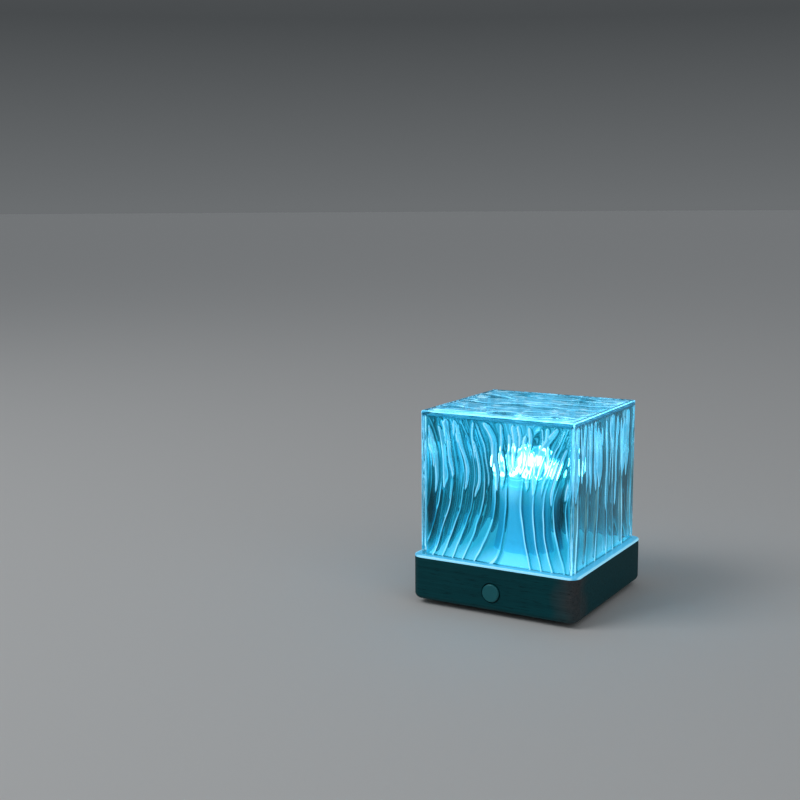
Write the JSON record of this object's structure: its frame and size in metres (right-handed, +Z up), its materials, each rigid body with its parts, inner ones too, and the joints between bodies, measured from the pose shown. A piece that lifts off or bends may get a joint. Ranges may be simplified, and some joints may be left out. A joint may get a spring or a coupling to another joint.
{
  "type": "northern lights projector",
  "caption": "Clear rippled cube lamp on a dark square base: a lit column inside carries a ripple lens dome turned by a geared ring, with a push button at the front.",
  "frame": {"origin": "on the floor, under the lamp column's axis", "axes": "+Z up, the button faces -Y, +X to its right seen from the front"},
  "size_m": [0.09, 0.091, 0.0995],
  "materials": {
    "clear_acrylic": "polished clear acrylic",
    "light_plate": "lit acrylic sheet",
    "frosted_plastic": "frosted",
    "stained_wood": "dark stain, satin",
    "black_plastic": "fine texture",
    "rubber": "matt",
    "screw_steel": "zinc plated",
    "steel": "nickel plated",
    "brass": "satin",
    "aluminium": "turned",
    "white_board": "white solder mask",
    "green_board": "solder mask",
    "component_black": "moulded",
    "white_plastic": "moulded",
    "ripple_lens": "lit clear lens",
    "diode": "lit",
    "satin_button": "satin grey",
    "cell_wrap": "heat-shrink sleeve"
  },
  "bodies": {
    "base": {"crystal_cover": "clear_acrylic", "glow_plate": "light_plate", "light_column": "frosted_plastic", "housing": "stained_wood", "bottom_cover": "black_plastic", "button_bush": "black_plastic", "switch_body": "black_plastic", "motor_end_cap": "black_plastic", "usb_tongue": "black_plastic", "rubber_foot_1": "rubber", "rubber_foot_2": "rubber", "rubber_foot_3": "rubber", "rubber_foot_4": "rubber", "cover_screws": "screw_steel", "column_screws": "screw_steel", "heat_sink_screw": "screw_steel", "led_screws": "screw_steel", "motor_screws": "screw_steel", "switch_screws": "screw_steel", "board_screws": "screw_steel", "motor_can": "steel", "usb_shell": "steel", "gearbox": "brass", "heat_sink": "aluminium", "led_board": "white_board", "control_board": "green_board", "switch_board": "green_board", "board_components": "component_black", "lamp_head": "white_plastic", "board_spacers": "white_plastic", "switch_spacers": "white_plastic", "led_emitters": "diode", "battery_cell": "cell_wrap"},
    "button": {"button_cap": "satin_button", "switch_plunger": "black_plastic"},
    "drive": {"drive_pinion": "white_plastic", "motor_shaft": "steel"},
    "lens": {"lens_ring": "white_plastic", "ripple_dome": "ripple_lens"}
  },
  "joints": [
    {"name": "lens_spin", "type": "hinge", "parent": "base", "child": "lens", "pos_m": [0, 0, 0.0632], "axis": [0, 0, 1], "continuous": true},
    {"name": "pinion_spin", "type": "hinge", "parent": "base", "child": "drive", "pos_m": [0, 0.0078, 0.0618], "axis": [0, 0, 1], "continuous": true},
    {"name": "button_press", "type": "slide", "parent": "base", "child": "button", "axis": [0, 1, 0], "range_m": [0, 0.0006], "stiffness_N_per_m": 1500, "springref_m": -0.0006}
  ],
  "couplings": [
    {"joint": "pinion_spin", "follows": "lens_spin", "ratio": 3.1667}
  ]
}
